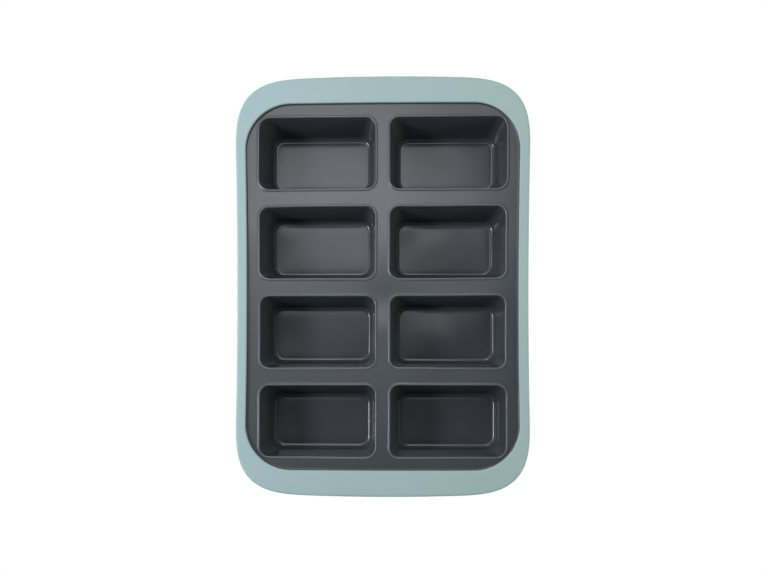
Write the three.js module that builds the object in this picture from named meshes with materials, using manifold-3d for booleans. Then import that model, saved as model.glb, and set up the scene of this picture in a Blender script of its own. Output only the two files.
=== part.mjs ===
// Silicone mini loaf pan: a grey cavity moulding of one deck and eight cups, a wire ring that stiffens it,
// and a mint rim moulded over the deck's edge and the wire. Millimetres, +Z up, +Y along the pan's length.
// The origin is under the middle of the pan, on the surface that it stands on.
import * as THREE from "three";
import { mergeVertices } from "three/addons/utils/BufferGeometryUtils.js";
import Module from "manifold-3d";

const wasm = await Module();
wasm.setup();

// Gaps and cuts
const clearance = 0.3; // between curved or cut faces that touch on the real pan
const cutOverrun = 1; // how far a cutting tool runs past the face that it cuts

// The cups, which lie across the pan. Mouths are measured between the crests of their lip beads.
const cupColumns = 2;
const cupRows = 4;
const mouthLength = 100;
const mouthWidth = 62.3;
const mouthCorner = 9;
const ribBetweenColumns = 10.7;
const ribBetweenRows = 13.5;
const cupDepth = 35;
const endWallDraft = 10; // degrees
const sideWallDraft = 12; // degrees
const floorCorner = 7.4;
const floorFillet = 2.4;
const cupWall = 1.8;
const cupFloorThickness = 1.8;
const beadHalfWidth = 0.9;
const beadHeight = 0.6;
const shoulderReach = 1.6; // the fillet under the deck, outside the cup's neck
const shoulderDrop = 2.6;

// The deck round the cups, its upstand, and the flange that the rim grips
const deckThickness = 1.8;
const deckSideMargin = 10.8; // from a lip's crest to the rim, where the pan is widest
const deckEndMargin = 9.9;
const deckCornerMargin = 2.1; // from a corner cup's lip to the rim, along the diagonal
const deckUnderRound = 0.9;
const upstandInset = 0.4; // inside the rim's inner edge
const upstandThickness = 1.8;
const upstandFillet = 0.8;
const flangeReach = 2.8; // past the rim's inner edge, into its groove
const flangeThickness = 1.4;

// The rim: narrow along the sides, and wide at the two ends, where the pan is held
const rimSideWidth = 8.5;
const rimEndWidth = 22.3;
const rimThickness = 6;
const rimTopSkin = 1.2; // over the deck's flange
const deckRecess = 2.8; // from the rim's top down to the deck
const rimOuterRound = 1.9;
const rimInnerRound = 1;
const rimUnderRound = 0.8;
const innerEndBow = 0.8; // how far the middle of an end stands out
const innerSideWaist = 2.1; // how far the middle of a side is drawn in
const outerEndBow = 4.3;
const outerSideWaist = 2.9;
const outerCornerReach = 66.5; // how far a corner's curve runs along the side
const innerCornerPower = 2; // 2 is a circle's quarter, and more is squarer
const outerCornerPower = 3.4;

// The wire ring inside the rim, and the holes that the mould's locating pins leave under it
const wireDiameter = 2.5;
const pinHoleDiameter = 2;
const pinHoleCount = 12;

// How finely curves are stepped
const cornerSteps = 10;
const sideSteps = 3; // from the middle of a side to its corner
const endSteps = 3;
const cupCornerSteps = 5;
const roundSteps = 3;
const wireSides = 8;

// Heights that follow from the sizes above
const deckTop = cupFloorThickness + cupDepth;
const deckBottom = deckTop - deckThickness;
const rimTop = deckTop + deckRecess;
const rimBottom = rimTop - rimThickness;
const flangeTop = rimTop - rimTopSkin;
const flangeBottom = flangeTop - flangeThickness;
const wireHeight = rimBottom + rimThickness / 2;

// Places that follow from the sizes above
const columnPitch = mouthLength + ribBetweenColumns;
const rowPitch = mouthWidth + ribBetweenRows;
const innerHalfWidth = ((cupColumns - 1) * columnPitch + mouthLength) / 2 + deckSideMargin;
const innerHalfLength = ((cupRows - 1) * rowPitch + mouthWidth) / 2 + deckEndMargin + innerEndBow;
const upstandOuterFace = upstandThickness - upstandInset;
const wireInset = (rimSideWidth - flangeReach) / 2; // midway between the flange and the rim's outer edge

const mintSilicone = new THREE.MeshStandardMaterial({ color: 0xa3c0c2, roughness: 0.6, metalness: 0 });
const greySilicone = new THREE.MeshStandardMaterial({ color: 0x3c4045, roughness: 0.42, metalness: 0 });
const steel = new THREE.MeshStandardMaterial({ color: 0xb9bcbf, roughness: 0.35, metalness: 1 });

// Plan outline of the rim's outer or inner edge: a rounded rectangle whose ends bow out and whose sides draw in.
// Each corner is a quarter of a superellipse. The widest point is at halfWidth and the farthest at halfLength.
function bowedOutline({ halfWidth, halfLength, reach, power, endBow, sideWaist }) {
  const straightLength = halfLength - endBow;
  const quarter = [];
  for (let i = 0; i < sideSteps; i++) {
    quarter.push({ x: halfWidth, y: ((straightLength - reach) * i) / sideSteps });
  }
  for (let i = 0; i <= cornerSteps; i++) {
    const turn = (Math.PI / 2) * (i / cornerSteps);
    quarter.push({
      x: halfWidth - reach * (1 - Math.cos(turn) ** (2 / power)),
      y: straightLength - reach * (1 - Math.sin(turn) ** (2 / power)),
    });
  }
  for (let i = endSteps - 1; i >= 0; i--) {
    quarter.push({ x: ((halfWidth - reach) * i) / endSteps, y: straightLength });
  }
  const bent = quarter.map(({ x, y }) => ({
    x: x * (1 - (sideWaist / halfWidth) * (1 - (y / straightLength) ** 2)),
    y: y * (1 + (endBow / straightLength) * (1 - (x / halfWidth) ** 2)),
  }));
  const widest = Math.max(...bent.map(({ x }) => x));
  const side = bent.map(({ x, y }) => new THREE.Vector2((x * halfWidth) / widest, y));
  const half = [...side, ...side.slice(0, -1).reverse().map((p) => new THREE.Vector2(-p.x, p.y))];
  return [...half, ...half.slice(1, -1).map((p) => new THREE.Vector2(-p.x, -p.y))];
}

// An anticlockwise outline moved outwards by a distance, square to itself at each point.
function offsetOutline(points, distance) {
  return points.map((p, i) => {
    const before = points[(i + points.length - 1) % points.length];
    const after = points[(i + 1) % points.length];
    const along = after.clone().sub(before).normalize();
    return new THREE.Vector2(p.x + along.y * distance, p.y - along.x * distance);
  });
}

// Outline of a rectangle with round corners, anticlockwise.
function roundedRectangle(halfX, halfY, corner) {
  const quarters = [[1, 1], [-1, 1], [-1, -1], [1, -1]];
  return quarters.flatMap(([alongX, alongY], quarter) =>
    Array.from({ length: cupCornerSteps + 1 }, (_, i) => {
      const turn = (Math.PI / 2) * (quarter + i / cupCornerSteps);
      return new THREE.Vector2(
        alongX * (halfX - corner) + corner * Math.cos(turn),
        alongY * (halfY - corner) + corner * Math.sin(turn),
      );
    }),
  );
}

// Quarter of a round edge: how far each point lies in from the upright face, and how far off the flat one.
function quarterRound(radius) {
  return Array.from({ length: roundSteps + 1 }, (_, i) => {
    const turn = (Math.PI / 2) * (i / roundSteps);
    return { inset: radius * (1 - Math.sin(turn)), off: radius * (1 - Math.cos(turn)) };
  });
}

// A body swept through a list of rings, each an anticlockwise outline at its own height. The rings go round the
// section anticlockwise. A ring body joins its last ring to its first, and a dish is closed by two flat faces.
function sweptBody(rings, isDish) {
  const count = rings[0].outline.length;
  const vertices = rings.flatMap(({ outline, z }) => outline.flatMap((p) => [p.x, p.y, z]));
  const faces = [];
  for (let band = 0; band < rings.length - (isDish ? 1 : 0); band++) {
    const here = band * count;
    const there = ((band + 1) % rings.length) * count;
    for (let i = 0; i < count; i++) {
      const next = (i + 1) % count;
      faces.push(here + i, here + next, there + next, here + i, there + next, there + i);
    }
  }
  if (isDish) {
    const lastRing = (rings.length - 1) * count;
    const underHub = rings.length * count;
    vertices.push(0, 0, rings[0].z, 0, 0, rings[rings.length - 1].z);
    for (let i = 0; i < count; i++) {
      const next = (i + 1) % count;
      faces.push(underHub, next, i, underHub + 1, lastRing + i, lastRing + next);
    }
  }
  const geometry = new THREE.BufferGeometry();
  geometry.setAttribute("position", new THREE.Float32BufferAttribute(vertices, 3));
  geometry.setIndex(faces);
  geometry.computeVertexNormals();
  return geometry;
}

function toSolid(geometry) {
  const bare = geometry.clone();
  bare.deleteAttribute("normal");
  bare.deleteAttribute("uv");
  const merged = mergeVertices(bare);
  return new wasm.Manifold(
    new wasm.Mesh({
      numProp: 3,
      vertProperties: merged.attributes.position.array,
      triVerts: new Uint32Array(merged.index.array),
    }),
  );
}

function toGeometry(solid) {
  const mesh = solid.getMesh();
  const positions = [];
  for (const vertex of mesh.triVerts) {
    const start = vertex * mesh.numProp;
    positions.push(...mesh.vertProperties.subarray(start, start + 3));
  }
  const geometry = new THREE.BufferGeometry();
  geometry.setAttribute("position", new THREE.Float32BufferAttribute(positions, 3));
  geometry.computeVertexNormals();
  return geometry;
}

function cutAll(geometry, cutters) {
  return toGeometry(cutters.reduce((solid, cutter) => solid.subtract(toSolid(cutter)), toSolid(geometry)));
}

function namedMesh(name, geometry, material) {
  const mesh = new THREE.Mesh(geometry, material);
  mesh.name = name;
  return mesh;
}

// The corner's reach that passes the corner cup's lip at deckCornerMargin: two circles' quarters, one inside the
// other, whose gap along the line of their centres is that margin.
function innerCornerReach() {
  const spare = deckSideMargin + deckEndMargin - deckCornerMargin;
  const squares = deckSideMargin ** 2 + deckEndMargin ** 2 - deckCornerMargin ** 2;
  return mouthCorner + spare + Math.sqrt(spare ** 2 - squares);
}

const outerEdge = bowedOutline({
  halfWidth: innerHalfWidth + rimSideWidth,
  halfLength: innerHalfLength + rimEndWidth,
  reach: outerCornerReach,
  power: outerCornerPower,
  endBow: outerEndBow,
  sideWaist: outerSideWaist,
});
const innerEdge = bowedOutline({
  halfWidth: innerHalfWidth,
  halfLength: innerHalfLength,
  reach: innerCornerReach(),
  power: innerCornerPower,
  endBow: innerEndBow,
  sideWaist: innerSideWaist,
});
const beyondInnerEdge = (distance, z) => ({ outline: offsetOutline(innerEdge, distance), z });
const insideOuterEdge = (distance, z) => ({ outline: offsetOutline(outerEdge, -distance), z });

// A round bar along the wire's path, built from rings round its section.
function wireBody(radius) {
  const rings = Array.from({ length: wireSides }, (_, i) => {
    const turn = (2 * Math.PI * i) / wireSides;
    return insideOuterEdge(wireInset - radius * Math.cos(turn), wireHeight + radius * Math.sin(turn));
  });
  return sweptBody(rings, false);
}

// Holes drilled up to the wire from the rim's underside, evenly spaced along it.
function pinHoles() {
  const path = offsetOutline(outerEdge, -wireInset).map((p) => new THREE.Vector3(p.x, p.y, 0));
  const route = new THREE.CatmullRomCurve3(path, true);
  const depth = wireHeight - rimBottom + cutOverrun;
  return Array.from({ length: pinHoleCount }, (_, i) => {
    const centre = route.getPointAt((i + 1 / 2) / pinHoleCount);
    const drill = new THREE.CylinderGeometry(pinHoleDiameter / 2, pinHoleDiameter / 2, depth, wireSides);
    drill.rotateX(Math.PI / 2);
    drill.translate(centre.x, centre.y, wireHeight - depth / 2);
    return drill;
  });
}

// The mint rim, with round edges, a groove in its inner side for the deck's flange, and a channel for the wire.
function makeRim() {
  const innerWall = upstandOuterFace + clearance;
  const grooveDepth = flangeReach + clearance;
  const section = [
    ...quarterRound(rimInnerRound).map((r) => beyondInnerEdge(r.inset, rimTop - r.off)),
    beyondInnerEdge(0, flangeTop),
    beyondInnerEdge(grooveDepth, flangeTop),
    beyondInnerEdge(grooveDepth, flangeBottom - clearance),
    beyondInnerEdge(innerWall, flangeBottom - clearance),
    beyondInnerEdge(innerWall, rimBottom + rimUnderRound),
    beyondInnerEdge(innerWall + rimUnderRound, rimBottom),
    ...quarterRound(rimOuterRound).map((r) => insideOuterEdge(r.inset, rimBottom + r.off)),
    ...quarterRound(rimOuterRound).reverse().map((r) => insideOuterEdge(r.inset, rimTop - r.off)),
  ];
  const channel = wireBody(wireDiameter / 2 + clearance);
  return namedMesh("rim_overmould", cutAll(sweptBody(section, false), [channel, ...pinHoles()]), mintSilicone);
}

// Spring steel wire bent to the rim's plan, its ends butt welded.
function makeWireRing() {
  return namedMesh("steel_wire_ring", wireBody(wireDiameter / 2), steel);
}

const cupPlaces = Array.from({ length: cupRows * cupColumns }, (_, i) => {
  const row = Math.floor(i / cupColumns);
  const column = i % cupColumns;
  return {
    name: `loaf_cup_row${row + 1}_column${column + 1}`,
    x: (column - (cupColumns - 1) / 2) * columnPitch,
    y: ((cupRows - 1) / 2 - row) * rowPitch,
  };
});

// The deck: a flat plate with a mouth for each cup, turned up at its edge into the flange that the rim grips.
function makeDeck() {
  const section = [
    beyondInnerEdge(upstandOuterFace - deckUnderRound, deckBottom),
    beyondInnerEdge(upstandOuterFace, deckBottom + deckUnderRound),
    beyondInnerEdge(upstandOuterFace, flangeBottom),
    beyondInnerEdge(flangeReach, flangeBottom),
    beyondInnerEdge(flangeReach, flangeTop),
    beyondInnerEdge(-upstandInset, flangeTop),
    ...quarterRound(upstandFillet).map((r) => beyondInnerEdge(-upstandInset - r.off, deckTop + r.inset)),
  ];
  const beyondCrest = beadHalfWidth + clearance;
  const mouths = cupPlaces.map(({ x, y }) => {
    const outline = roundedRectangle(
      mouthLength / 2 + beyondCrest,
      mouthWidth / 2 + beyondCrest,
      mouthCorner + beyondCrest,
    );
    const depth = deckThickness + 2 * cutOverrun;
    const mouth = new THREE.ExtrudeGeometry(new THREE.Shape(outline), { depth, bevelEnabled: false });
    return mouth.translate(x, y, deckBottom - cutOverrun);
  });
  return namedMesh("deck", cutAll(sweptBody(section, true), mouths), greySilicone);
}

// One loaf cup: a tapered shell whose lip bead stands up through the deck and whose shoulder carries the deck.
function cupGeometry() {
  const floorTop = cupFloorThickness;
  const leanAt = (draft, z) => (deckTop - z) * Math.tan(THREE.MathUtils.degToRad(draft));
  const beyondCrest = (distance, z) => ({
    outline: roundedRectangle(mouthLength / 2 + distance, mouthWidth / 2 + distance, mouthCorner + distance),
    z,
  });
  // The inner wall's plan at a height, moved outwards by a distance
  const beyondWall = (distance, z) => {
    const corner = THREE.MathUtils.mapLinear(z, floorTop, deckTop, floorCorner, mouthCorner - beadHalfWidth);
    return {
      outline: roundedRectangle(
        mouthLength / 2 - beadHalfWidth - leanAt(endWallDraft, z) + distance,
        mouthWidth / 2 - beadHalfWidth - leanAt(sideWallDraft, z) + distance,
        corner + distance,
      ),
      z,
    };
  };
  const foot = quarterRound(floorFillet + cupWall).map((r) => beyondWall(cupWall - r.inset, r.off));
  const shoulder = [
    beyondWall(cupWall, deckBottom - shoulderDrop),
    beyondCrest(beadHalfWidth + shoulderReach, deckBottom),
    beyondCrest(beadHalfWidth, deckBottom),
  ];
  const bead = Array.from({ length: 2 * roundSteps + 1 }, (_, i) => {
    const turn = (Math.PI / 2) * (i / roundSteps);
    return beyondCrest(beadHalfWidth * Math.cos(turn), deckTop + beadHeight * Math.sin(turn));
  });
  const floorEdge = quarterRound(floorFillet).map((r) => beyondWall(-r.off, floorTop + r.inset));
  return sweptBody([...foot, ...shoulder, ...bead, ...floorEdge], true);
}

const loafPan = new THREE.Group();
loafPan.add(makeRim(), makeWireRing(), makeDeck());
for (const { name, x, y } of cupPlaces) {
  const cup = namedMesh(name, cupGeometry(), greySilicone);
  cup.position.set(x, y, 0);
  loafPan.add(cup);
}

export default loafPan;
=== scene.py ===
import bmesh
import bpy
import mathutils
import numpy as np
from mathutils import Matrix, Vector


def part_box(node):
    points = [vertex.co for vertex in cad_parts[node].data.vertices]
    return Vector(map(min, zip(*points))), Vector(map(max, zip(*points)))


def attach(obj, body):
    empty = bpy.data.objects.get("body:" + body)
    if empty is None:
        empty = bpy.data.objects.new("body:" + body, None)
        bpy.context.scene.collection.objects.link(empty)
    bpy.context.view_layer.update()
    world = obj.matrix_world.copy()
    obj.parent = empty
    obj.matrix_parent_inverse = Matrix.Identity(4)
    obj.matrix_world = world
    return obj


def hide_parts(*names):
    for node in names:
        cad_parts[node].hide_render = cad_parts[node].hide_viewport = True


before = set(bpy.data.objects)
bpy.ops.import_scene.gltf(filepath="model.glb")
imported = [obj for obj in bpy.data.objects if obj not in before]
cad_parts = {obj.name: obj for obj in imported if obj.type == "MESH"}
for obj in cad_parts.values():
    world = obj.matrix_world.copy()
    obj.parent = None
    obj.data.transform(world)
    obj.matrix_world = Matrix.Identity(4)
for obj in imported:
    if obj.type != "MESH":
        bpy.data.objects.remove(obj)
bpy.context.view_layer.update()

mm = 0.001


# Grey cavity moulding
# One shot of dark grey silicone: a flat deck with eight loaf cups hanging from it, and a turned-up edge whose
# flange the rim grips. The cups' inside has a smoother finish than the deck, as off a polished core.
# Each cup is carried on rings round its middle, and the deck fills the space from its lip to its neighbours'.
cup_names = [f"loaf_cup_row{row}_column{column}" for row in (1, 2, 3, 4) for column in (1, 2)]
cup_low, cup_high = (np.array(corner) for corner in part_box(cup_names[0]))
deck_low, deck_high = (np.array(corner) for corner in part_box("deck"))

bead_height = 0.6 * mm
bead_inside = 0.9 * mm
bead_outside = 1.3 * mm
shoulder_past_crest = 2.5 * mm
shoulder_foot_past_crest = 0.05 * mm
shoulder_drop = 2.6 * mm
mouth_corner = 9.0 * mm
floor_corner = 9.8 * mm
floor_fillet = 3.6 * mm
floor_dome = 0.2 * mm
dome_power = 10
cup_wall = 1.8 * mm
end_wall_draft = np.radians(8.9)
side_wall_draft = np.radians(10.2)
flange_reach = 2.8 * mm
flange_thickness = 1.4 * mm
flange_chamfer = 0.2 * mm
upstand_inset = 0.4 * mm
upstand_fillet = 0.6 * mm
upstand_round = 0.35 * mm
upstand_thickness = 1.8 * mm
deck_under_round = 0.9 * mm
inner_corner_reach = 39.2 * mm
inner_corner_power = 2.0
inner_end_bow = 0.8 * mm
inner_side_waist = 2.1 * mm

deck_top = cup_high[2] - bead_height
deck_bottom = deck_low[2]
flange_top = deck_high[2]
floor_top = cup_wall
mouth_half = (cup_high - cup_low)[:2] / 2 - shoulder_past_crest
inner_half = deck_high[:2] - flange_reach


def bowed_outline(half, reach, power, end_bow, side_waist, count=4096):
    """Closed plan outline, anticlockwise from +X, and its outward normals, at even steps of its length.

    A quarter runs up the side, round a superellipse corner and along the end. x then loses a parabola of y, so
    the sides draw in at mid-length, and y gains a parabola of x, so the ends bow out.
    """
    corner_steps, straight_steps = 800, 200
    straight = half[1] - end_bow
    turn = np.linspace(0, np.pi / 2, corner_steps)
    level = np.linspace(0, 1, straight_steps, endpoint=False)
    corner_x = half[0] - reach * (1 - np.cos(turn) ** (2 / power))
    corner_y = straight - reach * (1 - np.sin(turn) ** (2 / power))
    x = np.concatenate([np.full(straight_steps, half[0]), corner_x, (half[0] - reach) * (1 - level[1:]), [0]])
    y = np.concatenate([(straight - reach) * level, corner_y, np.full(straight_steps, straight)])
    bent_x = x * (1 - side_waist / half[0] * (1 - (y / straight) ** 2))
    bent_y = y * (1 + end_bow / straight * (1 - (x / half[0]) ** 2))
    bent_x *= half[0] / bent_x.max()
    length = np.concatenate([[0], np.cumsum(np.hypot(np.diff(bent_x), np.diff(bent_y)))])
    even = np.linspace(0, length[-1], count // 4 + 1)
    quarter = np.column_stack([np.interp(even, length, bent_x), np.interp(even, length, bent_y)])
    upper = np.vstack([quarter, quarter[-2::-1] * (-1, 1)])
    outline = np.vstack([upper, -upper[1:-1]])
    along = np.roll(outline, -1, 0) - np.roll(outline, 1, 0)
    along /= np.linalg.norm(along, axis=1)[:, None]
    return outline, np.column_stack([along[:, 1], -along[:, 0]])


def at_turns(curve, turns):
    """Points of a closed curve at shares of its length, straight between its own points."""
    place = np.mod(turns, 1) * len(curve)
    below = np.floor(place).astype(int) % len(curve)
    share = (place - np.floor(place))[..., None]
    return curve[below] * (1 - share) + curve[(below + 1) % len(curve)] * share


def ripple(x, y, seed, length, height):
    """Smooth random height: a sum of cosine waves of seeded direction, phase and wavelength."""
    waves = 12
    random = np.random.default_rng(seed)
    heading = random.uniform(0, 2 * np.pi, waves)
    phase = random.uniform(0, 2 * np.pi, waves)
    wave = 2 * np.pi / (length * random.uniform(0.7, 1.6, waves))
    along = np.multiply.outer(x, np.cos(heading) * wave) + np.multiply.outer(y, np.sin(heading) * wave)
    return height * np.cos(along + phase).sum(-1) / np.sqrt(waves / 2)


def grid_faces(rings, around, first=0):
    """Quads of a grid of points, ring by ring, each ring closed on itself."""
    ring = np.arange(rings - 1)[:, None] * around + first
    step = np.arange(around)
    after = (step + 1) % around
    return np.stack([ring + step, ring + around + step, ring + around + after, ring + after], -1).reshape(-1, 4)


def mesh_object(name, points, faces, marks=None, join=1e-6):
    """A smooth mesh object from arrays of points and quads, its coincident points joined into one.

    Marks are values from 0 to 1 at the points, kept as attributes that the material reads by name.
    """
    mesh = bpy.data.meshes.new(name)
    mesh.from_pydata(points.reshape(-1, 3).tolist(), [], faces.tolist())
    for key, values in (marks or {}).items():
        mesh.attributes.new(key, "FLOAT", "POINT").data.foreach_set("value", values.astype(np.float32).ravel())
    edit = bmesh.new()
    edit.from_mesh(mesh)
    bmesh.ops.remove_doubles(edit, verts=edit.verts, dist=join)
    bmesh.ops.recalc_face_normals(edit, faces=edit.faces)
    edit.to_mesh(mesh)
    edit.free()
    mesh.validate()
    mesh.polygons.foreach_set("use_smooth", np.ones(len(mesh.polygons), bool))
    piece = bpy.data.objects.new(name, mesh)
    bpy.context.scene.collection.objects.link(piece)
    return piece


def ring_layout(corner_steps=6, long_steps=18, short_steps=12):
    """How a rounded rectangle's ring is laid out, anticlockwise from the lower right corner's middle.

    Each point is a share of the way to the corner centres, in x and y, plus a point of the corner's circle. The
    four sides each run from one corner's middle to the next. Also gives each point's side and share along it.
    """
    eighth = np.pi / 4
    blocks = []
    for side, steps in enumerate((short_steps, long_steps, short_steps, long_steps)):
        middle = 2 * side * eighth
        before = np.linspace(middle - eighth, middle, corner_steps, endpoint=False)
        after = np.linspace(middle, middle + eighth, corner_steps, endpoint=False)
        angle = np.concatenate([before, np.full(steps, middle), after])
        run = np.concatenate([
            -np.ones(corner_steps), np.linspace(-1, 1, steps, endpoint=False), np.ones(corner_steps)])
        cosine, sine = round(np.cos(middle)), round(np.sin(middle))
        blocks.append(np.column_stack([cosine - sine * run, sine + cosine * run,
                                       np.cos(angle), np.sin(angle), np.full(len(run), side)]))
    return np.vstack(blocks)


layout = ring_layout()
around = len(layout)


def cup_ring(half, corner):
    """Points of a rounded rectangle, one row for each layout point: corner centres plus the corner's circle."""
    half, corner = np.atleast_2d(half), np.atleast_1d(corner)[:, None, None]
    return (half[:, None, :] - corner) * layout[:, 0:2] + corner * layout[:, 2:4]


def quarter_turn(steps):
    """Angles of a quarter circle, both ends included."""
    return np.linspace(0, np.pi / 2, steps + 1)


def wall_half(z):
    """Half size of the cup's inner wall at a height: the mouth less the bead and the lean of each wall."""
    lean = np.multiply.outer(deck_top - z, np.tan([end_wall_draft, side_wall_draft]))
    return mouth_half - bead_inside - lean


def wall_corner(z):
    """Corner radius of the inner wall at a height, straight between floor and lip."""
    return np.interp(z, [floor_top, deck_top], [floor_corner, mouth_corner - bead_inside])


def raised(flat, heights):
    """Rings of plan points with a height for each ring, or one height for all."""
    return np.concatenate([flat, np.broadcast_to(np.reshape(heights, (-1, 1, 1)), flat.shape[:2] + (1,))], -1)


def stack_rings(rows):
    """Rings from rows of half size x, half size y, corner and height."""
    return raised(cup_ring(rows[:, 0:2], rows[:, 2]), rows[:, 3])


def rows_beyond_wall(z, distance):
    """Ring rows of the wall's plan moved outwards, at given heights."""
    z, distance = np.broadcast_arrays(z, distance)
    return np.column_stack([wall_half(z) + distance[:, None], wall_corner(z) + distance, z])


def rows_beyond_crest(z, distance):
    """Ring rows of the lip crest's plan moved outwards, at given heights."""
    z, distance = np.broadcast_arrays(z, distance)
    return np.column_stack([mouth_half + distance[:, None], mouth_corner + distance, z])


def scaled_floor(row, shares):
    """Rings that shrink one row's ring to its middle, by shares."""
    rows = np.outer(shares, row)
    rows[:, 3] = row[3]
    return rows


# Inside, from the middle of the floor up the fillet and the wall, over the lip's crest and down to the deck
floor_rings, fillet_steps, wall_rings, rise_steps, fall_steps = 12, 8, 10, 7, 8
turn = quarter_turn(fillet_steps)
fillet_in = rows_beyond_wall(floor_top + floor_fillet * (1 - np.cos(turn)), -floor_fillet * (1 - np.sin(turn)))
wall_in = rows_beyond_wall(np.linspace(floor_top + floor_fillet, deck_top, wall_rings + 2)[1:-1], 0.0)
rise = quarter_turn(rise_steps)
lip_in = rows_beyond_crest(deck_top + bead_height * np.sin(rise), -bead_inside * np.cos(rise))
fall = np.linspace(0, 1, fall_steps + 1)[1:]
lip_out = rows_beyond_crest(deck_top + bead_height * (1 + np.cos(np.pi * fall)) / 2, bead_outside * fall)
inside = stack_rings(np.vstack([
    scaled_floor(fillet_in[0], np.sin(quarter_turn(floor_rings))[:-1]), fillet_in, wall_in, lip_in, lip_out]))
floor_half = fillet_in[0, :2]

# Outside, from the deck's underside down the shoulder and the wall, and under the floor to its middle
shoulder_steps, outer_wall_rings, outer_floor_rings = 6, 7, 6
under_turn = quarter_turn(shoulder_steps)
shoulder = rows_beyond_crest(
    deck_bottom - shoulder_drop * (1 - np.cos(under_turn)),
    shoulder_past_crest - (shoulder_past_crest - shoulder_foot_past_crest) * np.sin(under_turn))
foot_round = floor_fillet + cup_wall
wall_out = rows_beyond_wall(
    np.linspace(deck_bottom - shoulder_drop, foot_round, outer_wall_rings + 2)[1:-1], cup_wall)
foot = rows_beyond_wall(foot_round * (1 - np.sin(turn)), cup_wall - foot_round * (1 - np.cos(turn)))
outside = stack_rings(np.vstack([
    shoulder, wall_out, foot, scaled_floor(foot[-1], np.linspace(1, 0, outer_floor_rings + 1)[1:])]))

# The deck's outline at the foot of its upstand, and where each cup's share of the deck meets it
inner_edge, inner_normal = bowed_outline(
    inner_half, inner_corner_reach, inner_corner_power, inner_end_bow, inner_side_waist)
deck_foot = inner_edge - inner_normal * (upstand_inset + upstand_fillet)
quarter = len(deck_foot) // 4 + 1
corner_point = np.argmin(np.abs(np.arctan2(inner_normal[:quarter, 1], inner_normal[:quarter, 0]) - np.pi / 4))
corner_turns = corner_point / len(deck_foot)


def turns_at_height(y):
    """Share of the deck's outline at which its right side crosses a height y."""
    share = np.interp(abs(y), deck_foot[:quarter, 1], np.arange(quarter)) / len(deck_foot)
    return share if y >= 0 else -share


crest = cup_ring(mouth_half, mouth_corner)[0]
side_of = layout[:, 4].astype(int)
step_length = np.linalg.norm(np.roll(crest, -1, 0) - crest, axis=1)
side_share = np.concatenate([
    (np.cumsum(step_length[side_of == side]) - step_length[side_of == side]) / step_length[side_of == side].sum()
    for side in range(4)])

centres = {name: (np.array(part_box(name)[0])[:2] + np.array(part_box(name)[1])[:2]) / 2 for name in cup_names}
row_heights = sorted({round(centre[1], 5) for centre in centres.values()})
rib_heights = [(low + high) / 2 for low, high in zip(row_heights, row_heights[1:])]


def cell_border(centre):
    """Ring of points round one cup's share of the deck, and their turns on the outline or nan elsewhere.

    Each side runs between two corners of the share: straight along a rib's middle, or along the outline.
    """
    right = centre[0] > 0
    below = max((rib for rib in rib_heights if rib < centre[1]), default=None)
    above = min((rib for rib in rib_heights if rib > centre[1]), default=None)

    def corner(on_right, on_top):
        rib = above if on_top else below
        if on_right != right:
            if rib is None:
                return 0.25 if on_top else 0.75
            return np.array([0.0, rib])
        if rib is None:
            share = corner_turns if on_top else -corner_turns
        else:
            share = turns_at_height(rib)
        return (share if right else 0.5 - share) % 1

    corners = [corner(True, False), corner(True, True), corner(False, True), corner(False, False)]
    points, turns = np.zeros((around, 2)), np.full(around, np.nan)
    for side in range(4):
        mine = side_of == side
        start, end = corners[side], corners[(side + 1) % 4]
        on_outline = np.isscalar(start) and np.isscalar(end)
        if on_outline:
            run = (end - start + 0.5) % 1 - 0.5
            turns[mine] = (start + run * side_share[mine]) % 1
            points[mine] = at_turns(deck_foot, turns[mine])
        else:
            first = at_turns(deck_foot, start) if np.isscalar(start) else start
            last = at_turns(deck_foot, end) if np.isscalar(end) else end
            points[mine] = first + (last - first) * side_share[mine][:, None]
    return points, turns


def fill_between(first, last, steps):
    """Rings from one ring to another, straight between the two, without the first and with the last."""
    share = np.linspace(0, 1, steps + 1)[1:, None, None]
    return first * (1 - share) + last * share


# Two sheets for each cup: its inside with its share of the deck's top, and the underside with its outside
top_steps, under_steps = 8, 6
flat_within = 0.01 * mm
sheets, outline_turns = [], []
for name, centre in centres.items():
    border, turns = cell_border(centre)
    outline_turns.append(turns[~np.isnan(turns)])
    top_cup = inside + [*centre, 0]
    under_cup = outside + [*centre, 0]
    for sheet, level in ((top_cup, floor_top), (under_cup, 0)):
        dome = np.clip(1 - ((sheet[..., :2] - centre) / floor_half) ** dome_power, 0, 1).prod(-1)
        sheet[..., 2] += np.where(sheet[..., 2] < level + flat_within, floor_dome * dome, 0)
    deck_rings = fill_between(top_cup[-1, :, :2], border, top_steps)
    under_rings = fill_between(border, under_cup[0, :, :2], under_steps)
    sheets.append(np.concatenate([top_cup, raised(deck_rings, deck_top)]))
    sheets.append(np.concatenate([
        raised(border[None], deck_bottom), raised(under_rings[:-1], deck_bottom), under_cup]))

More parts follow.
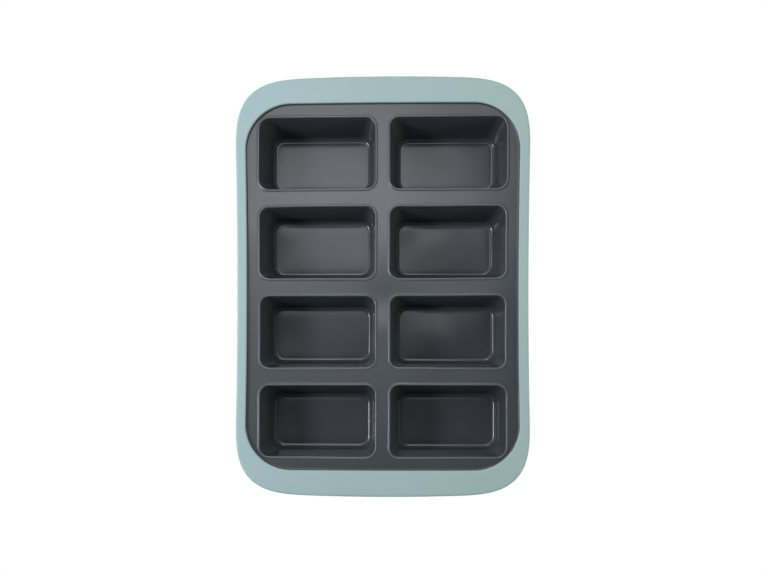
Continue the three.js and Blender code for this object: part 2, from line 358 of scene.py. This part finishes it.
# The edge strip: up the fillet and the upstand, out over the flange, back under it and down to the underside
edge_turns = np.unique(np.round(np.concatenate(outline_turns) % 1, 9))
upstand_outer = upstand_thickness - upstand_inset
flange_bottom = flange_top - flange_thickness
bend = quarter_turn(6)
edge_profile = np.vstack([
    np.column_stack([-upstand_inset - upstand_fillet * (1 - np.sin(bend)),
                     deck_top + upstand_fillet * (1 - np.cos(bend))]),
    [[-upstand_inset, flange_top - upstand_round]],
    np.column_stack([-upstand_inset + upstand_round * (1 - np.cos(bend)),
                     flange_top - upstand_round * (1 - np.sin(bend))]),
    [[flange_reach - flange_chamfer, flange_top], [flange_reach, flange_top - flange_chamfer],
     [flange_reach, flange_bottom + flange_chamfer], [flange_reach - flange_chamfer, flange_bottom],
     [upstand_outer, flange_bottom]],
    np.column_stack([upstand_outer - deck_under_round * (1 - np.cos(bend)),
                     deck_bottom + deck_under_round * (1 - np.sin(bend))]),
    [[-upstand_inset - upstand_fillet, deck_bottom]],
])
edge_points = at_turns(inner_edge, edge_turns) + edge_profile[:, None, :1] * at_turns(inner_normal, edge_turns)
edge_points[0] = edge_points[-1] = at_turns(deck_foot, edge_turns)
edge_strip = raised(edge_points, edge_profile[:, 1])
sheets.append(edge_strip)

faces, first = [], 0
for sheet in sheets:
    faces.append(grid_faces(sheet.shape[0], sheet.shape[1], first))
    first += sheet.shape[0] * sheet.shape[1]
points = np.concatenate([sheet.reshape(-1, 3) for sheet in sheets])

# Marks for the finishes: how far up the lip's bead a point is, which lays a painted highlight along the lips, and
# whether it is inside a cup
core_starts_below_deck = 0.1 * mm
lip, core = [], []
for number, sheet in enumerate(sheets):
    above = sheet[..., 2].ravel() - deck_top
    is_top = number % 2 == 0 and sheet is not edge_strip
    lip.append(np.clip(above / bead_height, 0, 1) * is_top)
    core.append((above < -core_starts_below_deck) * is_top)

# Small departures from the regular form. They aren't measured: each was chosen so that an edge or a reflection
# falls as in the photograph, and some may stand in for reflections of its room. First the deck's swells, in
# millimetres: where the middle of a bell is in x and y, how far it spreads in x and y, and how high it is.
deck_swells = np.array([
    (0, -12, 13, 11, -0.70), (0, -38, 13, 10, 0.50), (0, 26, 12, 14, 0.25), (26, -10, 28, 10, -0.50),
    (88, -11, 12, 10, 0.40), (-92, 64, 12, 10, -0.35), (84, -83, 16, 6, 0.20),
]) * mm
# The same for the cups' floors
floor_swells = np.array([
    (48, 42, 16, 13, 0.80), (74, 11, 24, 13, -1.50), (16, 60, 9, 10, 1.50), (52, -38, 22, 14, 2.20),
    (-92, 60, 10, 12, 1.60), (-92, -17, 10, 10, 1.20), (-18, -60, 16, 12, -1.40),
]) * mm
# How far each cup's floor edges are moved, cup by cup: left, right, near and far, in millimetres
floor_moves = np.array([
    ((-0.4, 0.0, 0.0, 0.0), (-0.6, -0.4, 0.0, -1.1)), ((0.0, 0.5, 0.0, 2.2), (-1.8, -2.0, -0.2, 0.9)),
    ((-0.5, 0.5, 0.0, 1.4), (-1.3, -0.9, -0.4, 1.6)), ((0.6, 0.0, -0.4, 0.0), (0.0, 0.0, -0.8, 0.0)),
]) * mm
# How far each cup's left and right lips are moved, cup by cup, in millimetres
lip_moves = np.array([
    ((-0.6, 0.6), (0.6, 0.8)), ((0.0, -0.3), (0.0, -0.6)), ((0.6, 0.3), (0.9, -0.9)), ((0.0, 0.3), (0.8, 0.2)),
]) * mm


def sway(points):
    """Points of the regular moulding with the small departures of soft silicone added.

    Smooth ripples move the deck and lips sideways and up. They and the deck's swells grow with the square of the
    height and die out between the deck and the flange's top. The floors' ripples and swells die out a little above
    the floor. A lip's move falls off as a bell with distance from its crest, and with the sixth power of the place
    along it. A floor edge's move grows with the fourth power of the place across the floor, and dies out up the
    wall. Last, no point is left below the surface that the pan stands on.
    """
    sideways_length, sideways_height = 90 * mm, 0.16 * mm
    upwards_length, upwards_height = 70 * mm, 0.10 * mm
    floor_length, floor_height = 40 * mm, 0.06 * mm
    floor_fade = 6 * mm
    lip_spread, lip_run = 4 * mm, 0.9 * mouth_half[1]
    foot_top, foot_fade = 14 * mm, 12 * mm
    foot_reach_x, foot_reach_y = 1.25, 1.5

    x, y, z = points.T
    still_edge = 1 - np.clip((z - deck_top) / (flange_top - deck_top), 0, 1)
    high = np.clip(z / deck_top, 0, 1) ** 2 * still_edge
    low = np.clip(1 - z / floor_fade, 0, 1)
    moved = points.copy()
    moved[:, 0] += ripple(x, y, 11, sideways_length, sideways_height) * high
    moved[:, 1] += ripple(x, y, 12, sideways_length, sideways_height) * high
    moved[:, 2] += ripple(x, y, 13, upwards_length, upwards_height) * high
    moved[:, 2] += ripple(x, y, 14, floor_length, floor_height) * low
    for table, fade in ((deck_swells, high), (floor_swells, low)):
        for middle_x, middle_y, spread_x, spread_y, height in table:
            bell = np.exp(-((x - middle_x) / spread_x) ** 2 / 2 - ((y - middle_y) / spread_y) ** 2 / 2)
            moved[:, 2] += height * bell * fade
    for name, centre in centres.items():
        row, column = int(name[-9]) - 1, int(name[-1]) - 1
        beside = np.exp(-((y - centre[1]) / lip_run) ** 6)
        for side, move in zip((-1, 1), lip_moves[row, column]):
            bell = np.exp(-((x - centre[0] - side * mouth_half[0]) / lip_spread) ** 2)
            moved[:, 0] += move * bell * beside * high
        across, along = (points[:, :2] - centre).T / floor_half[:, None]
        foot = np.clip((foot_top - z) / foot_fade, 0, 1)
        foot *= (np.abs(across) < foot_reach_x) * (np.abs(along) < foot_reach_y)
        left, right, near, far = floor_moves[row, column]
        moved[:, 0] += (left * np.clip(-across, 0, 1) ** 4 + right * np.clip(across, 0, 1) ** 4) * foot
        moved[:, 1] += (near * np.clip(-along, 0, 1) ** 4 + far * np.clip(along, 0, 1) ** 4) * foot
    moved[:, 2] = np.maximum(moved[:, 2], 0)
    return moved


moulding = mesh_object("cavity_moulding", sway(points), np.concatenate(faces),
                       {"lip": np.concatenate(lip), "core": np.concatenate(core)})


def add_node(tree, kind, inputs=None, **settings):
    """A shader node with its settings and input values, where an input may be another node's output."""
    node = tree.nodes.new(kind)
    for key, value in settings.items():
        setattr(node, key, value)
    for key, value in (inputs or {}).items():
        if isinstance(value, bpy.types.NodeSocket):
            tree.links.new(value, node.inputs[key])
        else:
            node.inputs[key].default_value = value
    return node


def silicone(name, dark, light, grain, depth):
    """Moulded silicone: its colour drifts softly between two tones, over a fine bump of the mould's grain.

    Gives the material, its shader and its tone node, so that each moulding adds its own finish.
    """
    material = bpy.data.materials.new(name)
    material.use_nodes = True
    tree = material.node_tree
    shader = tree.nodes["Principled BSDF"]
    place = add_node(tree, "ShaderNodeTexCoord").outputs["Object"]
    cloud = add_node(tree, "ShaderNodeTexNoise", {"Vector": place, "Scale": 18.0, "Detail": 3.0})
    tone = add_node(tree, "ShaderNodeMixRGB", {"Fac": cloud.outputs["Fac"], "Color1": dark, "Color2": light})
    tree.links.new(tone.outputs[0], shader.inputs["Base Color"])
    fine = add_node(tree, "ShaderNodeTexNoise", {"Vector": place, "Scale": grain, "Detail": 4.0})
    bump = add_node(tree, "ShaderNodeBump", {"Height": fine.outputs["Fac"], "Strength": 0.3, "Distance": depth})
    tree.links.new(bump.outputs["Normal"], shader.inputs["Normal"])
    shader.inputs["IOR"].default_value = 1.5
    return material, shader, tone


# The deck's third colour is a painted highlight: a lighter grey laid on the lips' crests
deck_dark, deck_light, lip_highlight_paint = (0.035, 0.044, 0.054, 1), (0.039, 0.049, 0.060, 1), (0.085, 0.092, 0.098, 1)
core_dark, core_light = (0.048, 0.053, 0.057, 1), (0.052, 0.057, 0.062, 1)
deck_finish, shader, tone = silicone("charcoal_deck", deck_dark, deck_light, grain=900.0, depth=0.02 * mm)
tree = deck_finish.node_tree
# Towards each lip's crest the colour turns to the painted highlight and the roughness falls
lip_height_share = add_node(tree, "ShaderNodeAttribute", attribute_name="lip").outputs["Fac"]
painted_lip_highlight = add_node(tree, "ShaderNodeMixRGB", {"Fac": lip_height_share, "Color1": tone.outputs[0], "Color2": lip_highlight_paint})
tree.links.new(painted_lip_highlight.outputs[0], shader.inputs["Base Color"])
satin = add_node(tree, "ShaderNodeMapRange", {"Value": lip_height_share, "To Min": 0.50, "To Max": 0.35})
tree.links.new(satin.outputs[0], shader.inputs["Roughness"])
shader.inputs["Coat Weight"].default_value = 0.6
shader.inputs["Coat Roughness"].default_value = 0.17
core_finish, shader, _ = silicone("charcoal_core", core_dark, core_light, grain=900.0, depth=0.02 * mm)
shader.inputs["Roughness"].default_value = 0.18
shader.inputs["IOR"].default_value = 1.41
moulding.data.materials.append(deck_finish)
moulding.data.materials.append(core_finish)

# A face has the core's finish where all its corners are inside a cup
is_core = np.zeros(len(moulding.data.vertices), np.float32)
moulding.data.attributes["core"].data.foreach_get("value", is_core)
corner_points = np.zeros(len(moulding.data.loops), np.int32)
moulding.data.loops.foreach_get("vertex_index", corner_points)
first_corner = np.zeros(len(moulding.data.polygons), np.int32)
moulding.data.polygons.foreach_get("loop_start", first_corner)
in_core = np.minimum.reduceat(is_core[corner_points], first_corner) > 0.5
moulding.data.polygons.foreach_set("material_index", in_core.astype(np.int32))
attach(moulding, "root")
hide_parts("deck", *cup_names)


# Steel wire ring
# Spring steel wire, bent to the rim's plan and butt welded at the middle of one side. It is sealed inside the
# rim and shows only in the pin holes underneath.
wire_low, wire_high = (np.array(corner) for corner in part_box("steel_wire_ring"))
wire_radius = (wire_high[2] - wire_low[2]) / 2
wire_height = (wire_high[2] + wire_low[2]) / 2
rim_low, rim_high = (np.array(corner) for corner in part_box("rim_overmould"))
wire_inset = rim_high[0] - wire_high[0] + wire_radius
wire_steps, wire_sides = 720, 24
outer_edge, outer_normal = bowed_outline(
    rim_high[:2], reach=66.5 * mm, power=3.4, end_bow=4.3 * mm, side_waist=2.9 * mm)

# Circles square to the rim's outer edge, inset to the wire's line
wire_turns = np.arange(wire_steps) / wire_steps
angle = np.arange(wire_sides + 1)[:, None] * 2 * np.pi / wire_sides
inset = wire_inset - wire_radius * np.cos(angle)[..., None]
wire_grid = raised(
    at_turns(outer_edge, wire_turns) - inset * at_turns(outer_normal, wire_turns),
    wire_height + wire_radius * np.sin(angle))
wire = mesh_object("wire_ring", wire_grid, grid_faces(wire_sides + 1, wire_steps))
steel_dark, steel_light = (0.42, 0.43, 0.44, 1), (0.58, 0.58, 0.58, 1)
steel = bpy.data.materials.new("drawn_steel")
steel.use_nodes = True
tree = steel.node_tree
shader = tree.nodes["Principled BSDF"]
place = add_node(tree, "ShaderNodeTexCoord").outputs["Object"]
draw_marks = add_node(tree, "ShaderNodeTexNoise", {"Vector": place, "Scale": 2600.0, "Detail": 2.0}).outputs["Fac"]
oxide = add_node(tree, "ShaderNodeTexNoise", {"Vector": place, "Scale": 60.0, "Detail": 4.0}).outputs["Fac"]
tone = add_node(tree, "ShaderNodeMixRGB", {"Fac": oxide, "Color1": steel_dark, "Color2": steel_light})
tree.links.new(tone.outputs[0], shader.inputs["Base Color"])
sheen = add_node(tree, "ShaderNodeMapRange", {"Value": draw_marks, "To Min": 0.22, "To Max": 0.48})
tree.links.new(sheen.outputs[0], shader.inputs["Roughness"])
scratch = add_node(tree, "ShaderNodeBump", {"Height": draw_marks, "Strength": 0.3, "Distance": 0.02 * mm})
tree.links.new(scratch.outputs["Normal"], shader.inputs["Normal"])
shader.inputs["Metallic"].default_value = 1.0
wire.data.materials.append(steel)
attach(wire, "root")
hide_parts("steel_wire_ring")


# Mint rim
# A second shot of mint silicone, moulded over the deck's flange and the wire. It is narrow along the sides and
# wide at the ends, with round edges, a matt blasted finish and locating holes left by the mould's pins.
rim_top, rim_bottom = rim_high[2], rim_low[2]
outer_round = 1.9 * mm
inner_round = 1.0 * mm
under_round = 0.8 * mm
bond_gap = 0.1 * mm
inner_wall = upstand_outer + bond_gap
groove = flange_reach + bond_gap
groove_bottom = flange_bottom - bond_gap
pin_radius = 1.0 * mm
pin_count = 12
ease = quarter_turn(8)
inner_rows = np.vstack([
    np.column_stack([inner_round * (1 - np.sin(ease)), rim_top - inner_round * (1 - np.cos(ease))]),
    [[0, flange_top], [groove, flange_top], [groove, groove_bottom], [inner_wall, groove_bottom]],
    np.column_stack([inner_wall + under_round * (1 - np.cos(ease)),
                     rim_bottom + under_round * (1 - np.sin(ease))]),
])
# Rings on the underside at even steps in from the outer edge, where the pin holes are cut
pin_band = np.array([4.6, 3.9, 3.2, 2.5]) * mm
outer_rows = np.vstack([
    np.column_stack([pin_band, np.full(len(pin_band), rim_bottom)]),
    np.column_stack([outer_round * (1 - np.sin(ease)), rim_bottom + outer_round * (1 - np.cos(ease))]),
    np.column_stack([outer_round * (1 - np.cos(ease)), rim_top - outer_round * (1 - np.sin(ease))]),
])
rim_count = 1200
rim_turns = np.arange(rim_count) / rim_count
from_inner = at_turns(inner_edge, rim_turns) + inner_rows[:, None, :1] * at_turns(inner_normal, rim_turns)
from_outer = at_turns(outer_edge, rim_turns) - outer_rows[:, None, :1] * at_turns(outer_normal, rim_turns)
inner_part = raised(from_inner, inner_rows[:, 1])
outer_part = raised(from_outer, outer_rows[:, 1])
flat_steps = 9
under_part = fill_between(inner_part[-1], outer_part[0], flat_steps)[:-1]
top_part = fill_between(outer_part[-1], inner_part[0], flat_steps)[:-1]
rim_grid = np.concatenate([inner_part, under_part, outer_part, top_part, inner_part[:1]])
rim_faces = grid_faces(rim_grid.shape[0], rim_count)

# Each pin hole takes a square window of quads out of the underside, under the wire
window = 6
wire_path = outer_edge - wire_inset * outer_normal
steps = np.linalg.norm(np.roll(wire_path, -1, 0) - wire_path, axis=1)
travelled = np.concatenate([[0], np.cumsum(steps)])
pin_places = travelled[-1] * (np.arange(pin_count) + 0.5) / pin_count
pin_turns = np.interp(pin_places, travelled, np.arange(len(travelled)) / len(wire_path))
pin_columns = np.round(pin_turns * rim_count).astype(int)
first_row = len(inner_part) + len(under_part)
rising, falling = range(window), range(window, 0, -1)
walk = np.array([(0, i) for i in rising] + [(i, window) for i in rising]
                + [(window, i) for i in falling] + [(i, 0) for i in falling])
flare_shares = np.array([0, 0.4, 0.8, 0.93])
tube_widths = np.array([1.0, 1.0, 1.0, 1.0, 0.5, 0.0])
tube_heights = np.array([0.08, 0.9, 1.8, 2.6, 2.6, 2.6]) * mm


def pin_hole(column, centre):
    """Rings of a hole: from the window's border in to the hole's edge, up its wall and shut inside the wire."""
    border = rim_grid[first_row + walk[:, 0], (column - window // 2 + walk[:, 1]) % rim_count]
    away = border[:, :2] - centre
    circle = centre + pin_radius * away / np.linalg.norm(away, axis=1)[:, None]
    share = flare_shares[:, None, None]
    flare = border * (1 - share) + np.column_stack([circle, np.full(len(circle), rim_bottom)]) * share
    tube = centre + (circle - centre) * tube_widths[:, None, None]
    return np.concatenate([flare, raised(tube, rim_bottom + tube_heights)])


rim_points, all_faces = [rim_grid.reshape(-1, 3)], []
ring_of, column_of = np.divmod(np.arange(len(rim_faces)), rim_count)
kept_faces = np.ones(len(rim_faces), bool)
for column, turns in zip(pin_columns, pin_turns):
    near = (column_of - (column - window // 2)) % rim_count < window
    kept_faces &= ~(near & (ring_of >= first_row) & (ring_of < first_row + window))
    hole = pin_hole(column, at_turns(wire_path, turns))
    all_faces.append(grid_faces(hole.shape[0], hole.shape[1], sum(len(part) for part in rim_points)))
    rim_points.append(hole.reshape(-1, 3))
rim = mesh_object("mint_rim", np.concatenate(rim_points), np.concatenate([rim_faces[kept_faces], *all_faces]))
mint_dark, mint_light = (0.352, 0.490, 0.485, 1), (0.381, 0.519, 0.513, 1)
mint, shader, _ = silicone("mint_silicone", mint_dark, mint_light, grain=1400.0, depth=0.03 * mm)
shader.inputs["Roughness"].default_value = 0.55
rim.data.materials.append(mint)
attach(rim, "root")
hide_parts("rim_overmould")


# Floor, room and lamps
# A white floor and a pale room that darkens overhead, where two large graded softboxes hang. The grey silicone
# reflects them. Their places, brightness and gradients, and those of the small lamps and the side softboxes,
# were fitted so that the light on the pan falls as in the photograph.
floor_reach = 3
floor_mesh = bpy.data.meshes.new("floor")
floor_mesh.from_pydata(
    [(x * floor_reach, y * floor_reach, 0) for x, y in ((-1, -1), (1, -1), (1, 1), (-1, 1))], [], [(0, 1, 2, 3)])
floor = bpy.data.objects.new("floor", floor_mesh)
bpy.context.scene.collection.objects.link(floor)
paper = bpy.data.materials.new("white_paper")
paper.use_nodes = True
tree = paper.node_tree
tree.nodes.clear()


def mirror_rays(tree):
    """Light Path node of a tree, and 1 for the rays that a glossy or clear surface sends out."""
    path = add_node(tree, "ShaderNodeLightPath")
    return path, add_node(tree, "ShaderNodeMath", {
        0: path.outputs["Is Glossy Ray"], 1: path.outputs["Is Transmission Ray"]}, operation="MAXIMUM").outputs[0]


path, mirrored = mirror_rays(tree)
seen = add_node(tree, "ShaderNodeMath", {0: path.outputs["Is Camera Ray"], 1: mirrored}, operation="MAXIMUM")
matt = add_node(tree, "ShaderNodeBsdfDiffuse", {"Color": (0.8, 0.8, 0.8, 1)})
white = add_node(tree, "ShaderNodeEmission", {"Color": (1, 1, 1, 1), "Strength": 1.0})
mixed = add_node(tree, "ShaderNodeMixShader", {0: seen.outputs[0], 1: matt.outputs[0], 2: white.outputs[0]})
add_node(tree, "ShaderNodeOutputMaterial", {"Surface": mixed.outputs[0]})
floor_mesh.materials.append(paper)

world = bpy.data.worlds.new("room")
bpy.context.scene.world = world
world.use_nodes = True
tree = world.node_tree
tree.nodes.clear()
path, mirrored = mirror_rays(tree)
heading = add_node(tree, "ShaderNodeSeparateXYZ", {0: add_node(tree, "ShaderNodeTexCoord").outputs["Generated"]})
wall = add_node(tree, "ShaderNodeMapRange", {
    "Value": heading.outputs["Z"], "From Min": 0.2, "From Max": 0.85, "To Min": 1.0, "To Max": 0.0})
share = add_node(tree, "ShaderNodeMapRange", {"Value": mirrored, "To Min": 0.3, "To Max": 1.0})
room = add_node(tree, "ShaderNodeMath", {0: wall.outputs[0], 1: share.outputs[0]}, operation="MULTIPLY")
level = add_node(tree, "ShaderNodeMath", {0: room.outputs[0], 1: path.outputs["Is Camera Ray"]},
                 operation="MAXIMUM")
glow = add_node(tree, "ShaderNodeBackground", {"Color": (1, 1, 1, 1), "Strength": level.outputs[0]})
add_node(tree, "ShaderNodeOutputWorld", {"Surface": glow.outputs[0]})


def soft_lamp(name, place, target, width, height, radiance, tint=(1, 1, 1)):
    """A rectangular softbox at a place, facing a target. Its power is radiance times area times pi."""
    data = bpy.data.lights.new(name, "AREA")
    data.shape = "RECTANGLE"
    data.size, data.size_y = width, height
    data.energy = radiance * width * height * np.pi
    data.color = tint
    lamp = bpy.data.objects.new(name, data)
    lamp.location = place
    lamp.rotation_euler = (mathutils.Vector(target) - mathutils.Vector(place)).to_track_quat("-Z", "Y").to_euler()
    bpy.context.scene.collection.objects.link(lamp)
    return lamp


def graded(lamp, across, along):
    """Grades a lamp that faces down, by pairs of place and brightness from 0 to 1 across its width and height.

    The brightness at a point is the product of the two, each eased between its pairs.
    """
    lamp.data.use_nodes = True
    tree = lamp.data.node_tree
    place = add_node(tree, "ShaderNodeSeparateXYZ", {0: add_node(tree, "ShaderNodeTexCoord").outputs["UV"]})
    shares = []
    for axis, stops in (("X", across), ("Y", along)):
        ramp = add_node(tree, "ShaderNodeValToRGB", {"Fac": place.outputs[axis]})
        ramp.color_ramp.interpolation = "EASE"
        for number, (stop, share) in enumerate(stops):
            element = ramp.color_ramp.elements[number] if number < 2 else ramp.color_ramp.elements.new(stop)
            element.position, element.color = stop, (share, share, share, 1)
        shares.append(ramp.outputs["Color"])
    product = add_node(tree, "ShaderNodeMath", {0: shares[0], 1: shares[1]}, operation="MULTIPLY")
    tree.links.new(product.outputs[0], tree.nodes["Emission"].inputs["Strength"])


# Overhead lamps hang in one plane and face straight down. A lamp in the same plane as another hides it or is
# hidden where they overlap, so the small one hangs a little lower.
ceiling, below_ceiling = 1.377, 1.36
cool, warm, slightly_cool = (0.94, 0.99, 1.08), (1.10, 1.0, 0.88), (0.97, 1.0, 1.06)
softbox = soft_lamp("softbox_above", (-0.07, 0.22, ceiling), (-0.07, 0.22, 0), 0.84, 1.12, 5.25, slightly_cool)
graded(
    softbox,
    across=((0.0, 0.80), (0.14, 0.87), (0.29, 0.98), (0.43, 1.0), (0.57, 0.90), (0.71, 0.68), (0.86, 0.30),
            (1.0, 0.05)),
    along=((0.05, 0.0), (0.16, 0.055), (0.27, 0.11), (0.375, 0.18), (0.48, 0.32), (0.59, 0.58), (0.69, 1.0),
           (0.79, 0.73), (1.0, 0.46)))
softbox_far = soft_lamp("softbox_far", (-0.07, 1.14, ceiling), (-0.07, 1.14, 0), 0.66, 0.72, 7.2)
graded(
    softbox_far,
    across=((0.0, 1.0), (0.35, 1.0), (0.65, 0.52), (1.0, 0.52)),
    along=((0.0, 0.40), (0.4, 0.75), (0.55, 1.0), (1.0, 1.0)))
soft_lamp("ceiling_small", (0.09, 0.135, below_ceiling), (0.09, 0.135, 0), 0.14, 0.05, 1.8)
soft_lamp("ceiling_left", (-0.60, 0.50, ceiling), (-0.60, 0.50, 0), 0.34, 0.80, 1.7)

# Side softboxes: name, place, the spot it faces, radiance, tint, and whether glossy surfaces mirror it. The low
# ones aren't mirrored, because from the sides their reflection turns the deck white.
side_width, side_height = 0.27, 0.30
near_spot, far_spot = (0, -0.045, 0.03), (0, 0.036, 0.03)
for name, place, spot, radiance, tint, in_mirror in (
        ("softbox_left", (-0.95, -0.15, 0.80), near_spot, 23.0, cool, True),
        ("softbox_left_far", (-0.95, 0.12, 0.80), far_spot, 8.2, cool, True),
        ("softbox_left_low", (-0.95, 0.12, 0.34), far_spot, 4.3, cool, False),
        ("softbox_right_low", (0.95, -0.15, 0.34), near_spot, 9.4, warm, False),
        ("softbox_right_far", (0.95, 0.12, 0.34), far_spot, 4.7, warm, False)):
    soft_lamp(name, place, spot, side_width, side_height, radiance, tint).visible_glossy = in_mirror
soft_lamp("fill_front", (-0.2, -1.0, 0.40), (0, 0, 0.03), 0.40, 0.30, 1.1)


# Camera
# It looks straight down from a little right of the pan's middle and nearer its lower end, with the frame
# shifted so that the pan is centred.
picture_width = 768
camera_data = bpy.data.cameras.new("camera")
camera_data.lens = 35.15
camera_data.sensor_width = 36.0
camera_data.shift_x = -19.8 / picture_width
camera_data.shift_y = 113.5 / picture_width
camera = bpy.data.objects.new("camera", camera_data)
camera.location = (0.0329, -0.0952, 0.6723)
camera.rotation_euler = np.radians((-0.16, 1.32, 0.05))
bpy.context.scene.collection.objects.link(camera)
bpy.context.scene.camera = camera
bpy.context.scene.view_settings.view_transform = "Standard"
